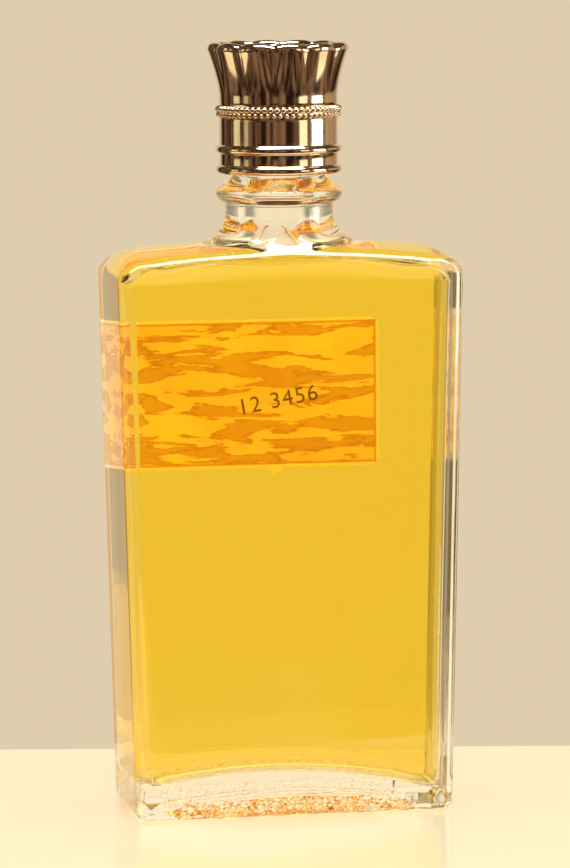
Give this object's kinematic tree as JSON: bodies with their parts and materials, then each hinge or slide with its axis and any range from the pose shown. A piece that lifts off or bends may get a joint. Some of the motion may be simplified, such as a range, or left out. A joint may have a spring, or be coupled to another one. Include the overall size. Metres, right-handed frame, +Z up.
{
  "type": "aftershave bottle",
  "caption": "Rectangular clear glass splash bottle of golden aftershave, with a label on one broad face and a fluted gold metal screw cap.",
  "frame": {"origin": "centre of the base, on the surface that the bottle stands on", "axes": "+Z up along the neck axis, +X along the wide direction of the body, +Y out of the broad face that carries the label"},
  "size_m": [0.0678, 0.029, 0.1497],
  "materials": {
    "clear_glass": "moulded and fire-polished soda-lime glass",
    "liquid": "clear golden-yellow liquid",
    "gold_metal": "polished pale-gold anodised drawn aluminium",
    "black_plastic": "moulded black plastic",
    "natural_plastic": "moulded natural polyethylene",
    "liner_foam": "matt die-cut foam with a smooth facing",
    "label_paper": "printed paper with gold borders"
  },
  "bodies": {
    "bottle": {"bottle_glass": "clear_glass", "aftershave_liquid": "liquid", "sprinkler_plug": "natural_plastic", "front_label": "label_paper"},
    "liner": {"cap_liner": "liner_foam"},
    "cap": {"cap_shell": "gold_metal", "cap_screw_insert": "black_plastic"}
  },
  "joints": [
    {"name": "cap_rise", "type": "slide", "parent": "bottle", "child": "liner", "axis": [0, 0, 1], "range_m": [0, 0.0128]},
    {"name": "cap_turn", "type": "hinge", "parent": "liner", "child": "cap", "pos_m": [0, 0, 0.137], "axis": [0, 0, 1], "range_deg": [0, 1440]}
  ],
  "couplings": [
    {"joint": "cap_rise", "follows": "cap_turn", "m_per_rad": 0.00050532}
  ]
}
